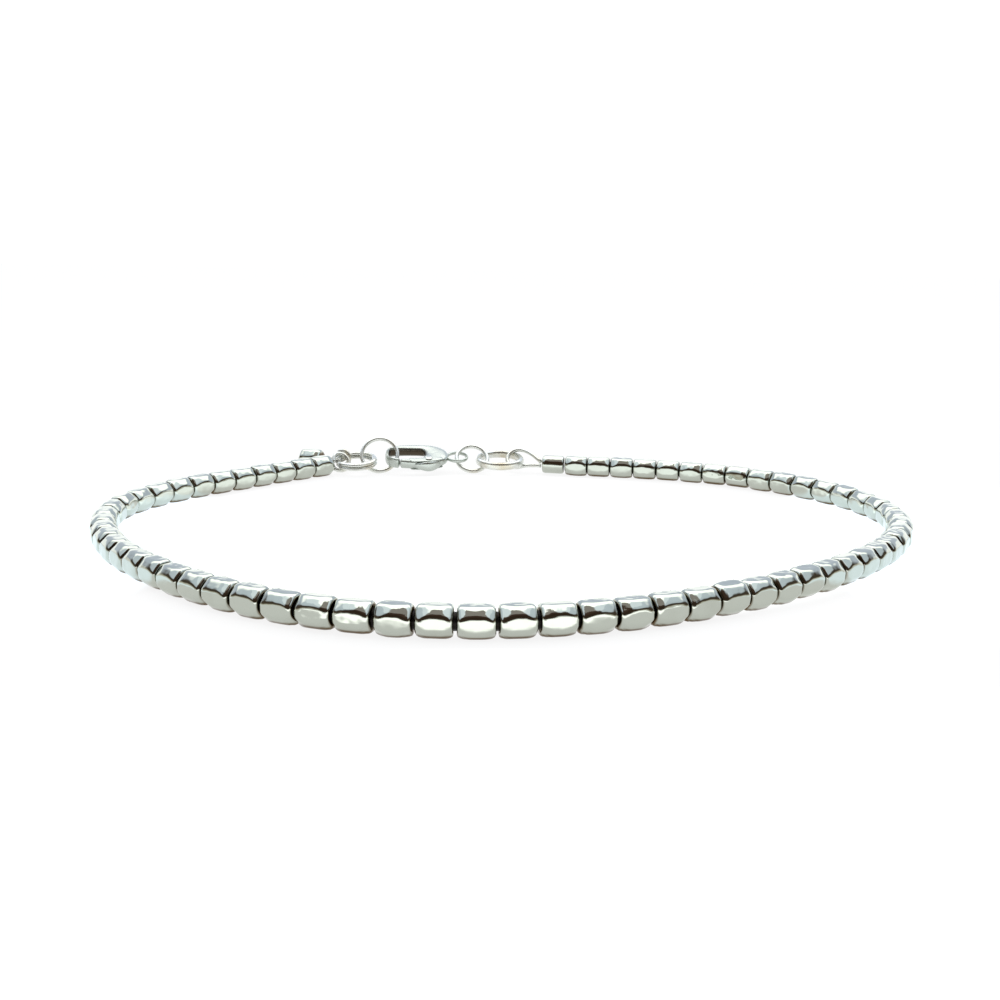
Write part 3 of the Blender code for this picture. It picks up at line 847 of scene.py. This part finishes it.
@dataclass
class Clasp:
    """The lobster claw: body with tail eye, sprung lever and rivet, in mm from the nose along X."""

    nose_at: tuple[float, float, float] = (-13.373, 26.11, 1.668)
    tilt: float = 14.0
    pitch: float = 0.5
    turn: float = 4.5
    length: float = 6.90
    width: float = 4.60
    thickness: float = 1.12
    far_wall: float = 1.20
    near_wall: float = 0.85
    nose_wall: float = 0.44
    hollow_end: float = 4.30
    shape_power: float = 2.4
    hollow_power: float = 6.0
    tail_bore: float = 1.90
    tail_wall: float = 0.28
    tail_thickness: float = 0.36
    tail_from_heel: float = 0.98
    pivot_from_nose: float = 4.75
    pivot_from_edge: float = 0.65
    gate_start: float = 1.60
    cheek_start: float = 3.65
    gate_thickness: float = 1.00
    lever_thickness: float = 0.56
    clearance: float = 0.10
    thumb_from_pivot: float = 0.50
    thumb_reach: float = 2.70
    thumb_rise: float = 0.42
    thumb_edge: float = 0.20
    rivet: float = 0.44
    rivet_head: float = 0.74
    rivet_head_height: float = 0.10
    rivet_fit: float = 0.05
    sharp: float = 50.0

    def pivot(self) -> np.ndarray:
        """The rivet's place on the claw, from the nose and the middle line."""
        return np.array([self.pivot_from_nose, self.pivot_from_edge - self.width / 2.0, 0.0])

    def placed(self, points: np.ndarray) -> np.ndarray:
        """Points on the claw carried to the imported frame: turned, pitched and tilted at the nose.

        Args:
            points: Points in mm by three, from the nose, the middle line and the middle height.

        Returns:
            The points in metres.
        """
        tilt, pitch, turn = (math.radians(value) for value in (self.tilt, self.pitch, self.turn))
        matrix = np.eye(3)
        for axis, angle in (("Z", turn), ("Y", pitch), ("X", tilt)):
            matrix = matrix @ np.array(Matrix.Rotation(angle, 3, axis))
        return points * MM @ matrix.T + np.array(self.nose_at) * MM + SHIFT

    def edge(self, x: np.ndarray) -> np.ndarray:
        """Half width of the claw's outline at a distance from the nose, a superellipse."""
        share = np.abs(2.0 * x / self.length - 1.0)
        power = self.shape_power
        return self.width / 2.0 * np.maximum(1.0 - share**power, 0.0) ** (1.0 / power)

    def band(self, first: float, last: float, count: int) -> tuple[np.ndarray, np.ndarray]:
        """Middle line and half width of the claw's wall, by angle about the hollow's middle.

        The outer point is where a ray at the angle meets the claw's superellipse and the inner
        point is where it meets the hollow's; the wall lies between them.

        Args:
            first: First angle in degrees, 180 at the nose and 270 on the near side.
            last: Last angle in degrees.
            count: Number of angles.

        Returns:
            Middle line by two, and the wall's vectors from inside to outside by two.
        """
        low = np.array([self.nose_wall, self.near_wall - self.width / 2.0])
        high = np.array([self.hollow_end, self.width / 2.0 - self.far_wall])
        centre, half = (low + high) / 2.0, (high - low) / 2.0
        angle = np.radians(np.linspace(first, last, count))
        ray = np.stack([np.cos(angle), np.sin(angle)], -1)
        power = self.hollow_power
        inner = (np.abs(ray / half) ** power).sum(-1) ** (-1.0 / power)
        reach = np.linspace(0.2, 7.0, 1200)
        spots = centre + ray[:, None] * reach[None, :, None]
        body = (np.abs((spots[..., 0] - self.length / 2.0) / (self.length / 2.0)) ** self.shape_power
                + np.abs(spots[..., 1] / (self.width / 2.0)) ** self.shape_power)
        outer = reach[np.argmax(body > 1.0, axis=1)]
        inside = centre + ray * inner[:, None]
        outside = centre + ray * outer[:, None]
        return (inside + outside) / 2.0, (outside - inside) / 2.0

    def swept(self, middle: np.ndarray, wall: np.ndarray, low: np.ndarray, high: np.ndarray,
              power: float, dark: float = 0.0, sides: int = 40) -> Surface:
        """A band whose section is a superellipse between two heights, with rounded ends.

        A section's point is middle + wall * run, at the height half way between low and high
        plus half their distance * rise, where run and rise go round a superellipse. At both ends
        the section shrinks as a quarter circle over its last few rings.

        Args:
            middle: Middle line by two.
            wall: Vectors from the middle line to the outer edge, by two.
            low: Lowest height at each point.
            high: Highest height at each point.
            power: The superellipse's power.
            dark: How much painted shade darkens the side toward the hollow.
            sides: Points round a section.

        Returns:
            The band's closed surface.
        """
        run, rise = superellipse(sides, power)
        flat = middle[:, None] + wall[:, None] * run[None, :, None]
        height = ((low + high) / 2.0)[:, None] + ((high - low) / 2.0)[:, None] * rise
        points = np.concatenate([flat, height[..., None]], axis=-1)
        centre = points.mean(1, keepdims=True)
        for end, nxt in ((0, 1), (-1, -2)):
            along = unit(centre[end, 0] - centre[nxt, 0])
            extra = []
            for share in (0.25, 0.5, 0.72, 0.88, 0.97):
                size = math.sqrt(1.0 - share**2)
                width = np.linalg.norm(wall[end]) * 0.55
                extra.append(centre[end] + (points[end] - centre[end]) * size + along * share * width)
            extra = np.stack(extra)
            points = np.concatenate([extra[::-1], points] if end == 0 else [points, extra])
        # Painted shade: the side toward the hollow darkens, as shade in the recess.
        inner = dark * rising(-run, 0.70, 0.25)
        return closed_grid(self.placed(points), np.broadcast_to(inner, points.shape[:2]))

    def body(self) -> Surface:
        """The claw's band from its tip round the nose, far arm and heel, its cheeks and tail eye."""
        half = self.thickness / 2.0
        middle, wall = self.band(238.0, -38.0, 220)
        flat = np.full(len(middle), half)
        # The band's side toward the hollow takes painted shade.
        main = self.swept(middle, wall, -flat, flat, 2.8, 0.95)
        cheek_middle, cheek_wall = self.band(-72.0, -20.0, 60)
        gap = self.lever_thickness / 2.0 + self.clearance
        count = np.ones(len(cheek_middle))
        upper = self.swept(cheek_middle, cheek_wall, count * gap, count * half, 3.4)
        lower = self.swept(cheek_middle, cheek_wall, -count * half, -count * gap, 3.4)
        angle = circle(96)
        radius = (self.tail_bore + self.tail_wall) / 2.0
        tail = self.length + self.tail_from_heel
        path = np.stack([tail + radius * np.cos(angle), radius * np.sin(angle), 0.0 * angle], -1)
        ones = np.ones(len(path)) * MM
        eye = tube(self.placed(path), ones * self.tail_wall / 2.0,
                   ones * self.tail_thickness / 2.0, 20, 2.4, closed=True)
        return joined([main, upper, lower, eye])

    def strip(self, x: np.ndarray, edges: tuple[np.ndarray, np.ndarray], half: np.ndarray | float,
              power: float) -> Surface:
        """A swept band along X between an outer and an inner edge, with its half thickness."""
        outer, inner = edges
        middle = np.stack([x, (outer + inner) / 2.0], -1)
        wall = np.stack([0.0 * x, (outer - inner) / 2.0], -1)
        half = half * np.ones(len(x))
        return self.swept(middle, wall, -half, half, power)

    def lever(self) -> Surface:
        """The gate along the near edge, its arm to the rivet and the thumb piece outside it.

        The arm starts a little inside the outline and sinks further in under the cheeks. The
        thumb piece swells out of the outline by its rise times sin(pi * share^1.25)^0.75.

        Returns:
            The three joined surfaces.
        """
        inner = self.near_wall - self.width / 2.0
        x = np.linspace(self.gate_start + self.clearance + 0.12, self.cheek_start - 0.22, 40)
        gate = self.strip(x, (0.04 - self.edge(x), inner), self.gate_thickness / 2.0, 2.8)
        pivot = self.pivot()[0]
        x = np.linspace(self.cheek_start - 0.7, pivot, 30)
        outer = 0.10 - 0.22 * rising(x, self.cheek_start - 0.35, 0.5) - self.edge(x)
        arm = self.strip(x, (outer, inner - 0.05), self.lever_thickness / 2.0, 3.4)
        share = np.linspace(0.0, 1.0, 40)
        x = pivot + self.thumb_from_pivot + self.thumb_reach * (share - 0.72)
        swell = np.sin(np.pi * share**1.25) ** 0.75
        inner = -self.edge(x) - 0.05
        half = self.thumb_edge + (self.thickness / 2.0 - self.thumb_edge) * swell
        thumb = self.strip(x, (inner - 0.10 - self.thumb_rise * swell, inner), half, 2.2)
        return joined([gate, arm, thumb])

    def rivet_surface(self) -> Surface:
        """The rivet: a shank with a low domed head at each end, turned about its axis."""
        shank, head = self.rivet / 2.0, self.rivet_head / 2.0
        under = self.thickness / 2.0 + self.rivet_fit
        rise = self.rivet_head_height
        turn = np.linspace(0.0, np.pi / 2.0, 9)[:-1]
        dome = np.stack([head * np.cos(turn), under + 0.02 + (rise - 0.02) * np.sin(turn)], -1)
        top = np.concatenate([[[shank, 0.0], [shank, under], [head * 0.97, under]], dome])
        profile = np.concatenate([(top * [1.0, -1.0])[::-1], top[1:]])
        angle = circle(32)
        points = np.stack([
            profile[:, 0, None] * np.cos(angle), profile[:, 0, None] * np.sin(angle),
            np.repeat(profile[:, 1, None], len(angle), axis=1),
        ], -1) + self.pivot()
        return closed_grid(self.placed(points))

    def build(self) -> None:
        """Makes the claw's three pieces."""
        for name, surface, finish, body, node, slot in (
            ("claw_body", self.body(), CAST, "bracelet", "clasp_body", "polished_silver"),
            ("claw_lever", self.lever(), CAST, "lever", "clasp_lever", "bright_silver"),
            ("claw_rivet", self.rivet_surface(), WIRE, "bracelet", "clasp_rivet", "bright_silver"),
        ):
            make_piece(name, surface, finish, body, [node], self.sharp)


# Camera, light and floor


@dataclass
class Studio:
    """The camera at the photograph's angle, a soft room with a dim side, and a pale glowing floor."""

    camera_at: tuple[float, float, float] = (-0.6513 * MM, -89.7915 * MM, 22.689 * MM)
    pitch_down: float = 12.61
    roll: float = 0.82
    focal_px: float = 1064.58
    frame_px: float = 1000.0
    room_light: float = 2.25
    dark_half_angle: float = 44.0
    dark_edge: float = 0.06
    back_edge: tuple[float, float] = (0.15, 0.55)
    front_ramp: Ramp = (
        (0.0, (0.45, 0.45, 0.45)), (0.035, (0.45, 0.45, 0.45)), (0.07, (0.030, 0.020, 0.013)),
        (0.55, (0.020, 0.012, 0.008)), (0.978, (0.050, 0.030, 0.022)), (0.992, (1.0, 1.0, 1.0)),
        (1.0, (1.0, 1.0, 1.0)),
    )
    side_ramp: Ramp = (
        (0.0, (0.42, 0.44, 0.42)), (0.10, (0.30, 0.27, 0.22)), (0.22, (0.04, 0.03, 0.022)),
        (0.50, (0.04, 0.03, 0.022)), (0.60, (0.36, 0.40, 0.46)), (0.93, (0.42, 0.47, 0.54)),
        (0.965, (1.0, 1.0, 1.0)), (1.0, (1.0, 1.0, 1.0)),
    )
    back_ramp: Ramp = (
        (0.0, (0.66, 0.66, 0.66)), (0.25, (0.66, 0.68, 0.70)), (0.28, (0.36, 0.39, 0.46)),
        (0.56, (0.325, 0.36, 0.435)), (0.64, (1.0, 1.0, 1.0)), (1.0, (1.0, 1.0, 1.0)),
    )
    lamp_size: float = 0.60
    lamp_power: float = 0.35
    lamp_at: tuple[float, float, float] = (0.0, 0.02, 0.45)
    floor_half: float = 3.0
    floor_base: float = 0.12
    floor_glow: float = 0.88
    pool_edge: tuple[float, float] = (0.90, 1.04)
    # Painted light: glowing pools on the floor, placed so that the metal mirrors them.
    pools: tuple[Pool, ...] = (
        ((2.0, -47.8), (36.0, 18.0), (1.18, 1.18, 1.18)),
        ((0.0, -0.9), (31.0, 24.0), (0.62, 0.67, 0.68)),
        ((-43.0, -6.0), (20.0, 24.0), (0.26, 0.40, 0.52)),
        ((43.0, -5.0), (20.0, 29.0), (0.26, 0.40, 0.52)),
    )

    def camera(self) -> None:
        """Sets the scene's camera."""
        data = bpy.data.cameras.new("camera")
        data.sensor_width = 36.0
        data.lens = self.focal_px / self.frame_px * data.sensor_width
        data.clip_start = 1.0 * MM
        data.clip_end = 20.0
        camera = linked("camera", data)
        look = Matrix.Rotation(math.radians(90.0 - self.pitch_down), 4, "X")
        turn = Matrix.Rotation(math.radians(self.roll), 4, "Z")
        camera.matrix_world = Matrix.Translation(Vector(self.camera_at)) @ look @ turn
        bpy.context.scene.camera = camera

    def sky(self) -> None:
        """A white room, dim brown toward the viewer, grey low at the sides and low at the back.

        The direction is split into its height z and its share q = y / length(x, y) away from the
        viewer. Each of the room's sides is a ramp of colours in z. The back's is mixed into the
        sides' as q rises, and the viewer's where -q passes the cosine of the dark half angle.
        """
        world = bpy.data.worlds.new("soft_room")
        bpy.context.scene.world = world
        world.use_nodes = True
        tree = world.node_tree
        background = tree.nodes["Background"]
        parts = tree.nodes.new("ShaderNodeSeparateXYZ")
        tree.links.new(tree.nodes.new("ShaderNodeTexCoord").outputs["Generated"], parts.inputs[0])
        x, y, z = parts.outputs

        def ramp(stops: Ramp) -> Socket:
            """A colour ramp of the direction's height."""
            node = tree.nodes.new("ShaderNodeValToRGB")
            tree.links.new(z, node.inputs[0])
            elements = node.color_ramp.elements
            elements[0].position, elements[0].color = stops[0][0], (*stops[0][1], 1.0)
            elements[1].position, elements[1].color = stops[-1][0], (*stops[-1][1], 1.0)
            for position, color in stops[1:-1]:
                elements.new(position).color = (*color, 1.0)
            return node.outputs["Color"]

        square = computed(tree, "MULTIPLY_ADD", y, y, 1e-6)
        flat = computed(tree, "SQRT", computed(tree, "ADD", computed(tree, "MULTIPLY", x, x), square))
        away = computed(tree, "DIVIDE", y, flat)
        behind = mapped(tree, away, *self.back_edge, smooth=True)
        around = blended(tree, behind, ramp(self.side_ramp), ramp(self.back_ramp))
        cosine = math.cos(math.radians(self.dark_half_angle))
        toward = computed(tree, "MULTIPLY", away, -1.0)
        facing = mapped(tree, toward, cosine - self.dark_edge, cosine + self.dark_edge, smooth=True)
        tree.links.new(blended(tree, facing, around, ramp(self.front_ramp)), background.inputs["Color"])
        background.inputs["Strength"].default_value = self.room_light

    def lamp(self) -> None:
        """A weak soft area lamp high above."""
        data = bpy.data.lights.new("lamp_above", "AREA")
        data.size = self.lamp_size
        data.energy = self.lamp_power
        linked("lamp_above", data).location = self.lamp_at

    def floor(self) -> None:
        """A wide pale floor that glows evenly, and more in soft-edged pools of painted light that the metal
        mirrors.

        The glow is the even glow plus each pool's colour times a smooth step, which falls from 1
        to 0 as the distance from the pool's middle, in its own half sizes, passes about 1.
        """
        half = self.floor_half
        mesh = bpy.data.meshes.new("floor")
        corners = [(-half, -half, 0.0), (half, -half, 0.0), (half, half, 0.0), (-half, half, 0.0)]
        mesh.from_pydata(corners, [], [(0, 1, 2, 3)])
        made = bpy.data.materials.new("pale_floor")
        made.use_nodes = True
        tree = made.node_tree
        nodes, links = tree.nodes, tree.links
        shader = nodes["Principled BSDF"]
        shader.inputs["Base Color"].default_value = (*[self.floor_base] * 3, 1.0)
        shader.inputs["Roughness"].default_value = 0.9
        shader.inputs["Specular IOR Level"].default_value = 0.0
        shader.inputs["Emission Strength"].default_value = 1.0
        place = nodes.new("ShaderNodeTexCoord").outputs["Object"]
        glow = None
        for middle, half, extra in self.pools:
            shares = nodes.new("ShaderNodeMapping")
            shares.inputs["Scale"].default_value = (1.0 / (half[0] * MM), 1.0 / (half[1] * MM), 0.0)
            links.new(place, shares.inputs["Vector"])
            reach = nodes.new("ShaderNodeVectorMath")
            reach.operation = "DISTANCE"
            links.new(shares.outputs["Vector"], reach.inputs[0])
            reach.inputs[1].default_value = (middle[0] / half[0], middle[1] / half[1], 0.0)
            total = nodes.new("ShaderNodeVectorMath")
            total.operation = "MULTIPLY_ADD"
            pool = mapped(tree, reach.outputs["Value"], *self.pool_edge, 1.0, 0.0, smooth=True)
            links.new(pool, total.inputs[0])
            total.inputs[1].default_value = extra
            total.inputs[2].default_value = (self.floor_glow,) * 3
            if glow is not None:
                links.new(glow, total.inputs[2])
            glow = total.outputs["Vector"]
        links.new(glow, shader.inputs["Emission Color"])
        mesh.materials.append(made)
        linked("floor", mesh)

    def build(self) -> None:
        """Sets camera, light and floor."""
        self.camera()
        self.sky()
        self.lamp()
        self.floor()
        bpy.context.scene.view_settings.view_transform = "Standard"


def main() -> None:
    """Builds the scene."""
    logging.basicConfig(level=logging.INFO, format="%(message)s")
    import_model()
    Studio().build()
    string = BeadString()
    string.build()
    CrimpTube(string).build()
    for ring in (LEFT_HEAVY, LEFT_UPRIGHT, RIGHT_SMALL, RIGHT_HEAVY):
        ring.build()
    EndWires(string).build()
    Clasp().build()
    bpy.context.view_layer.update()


if __name__ == "__main__":
    main()
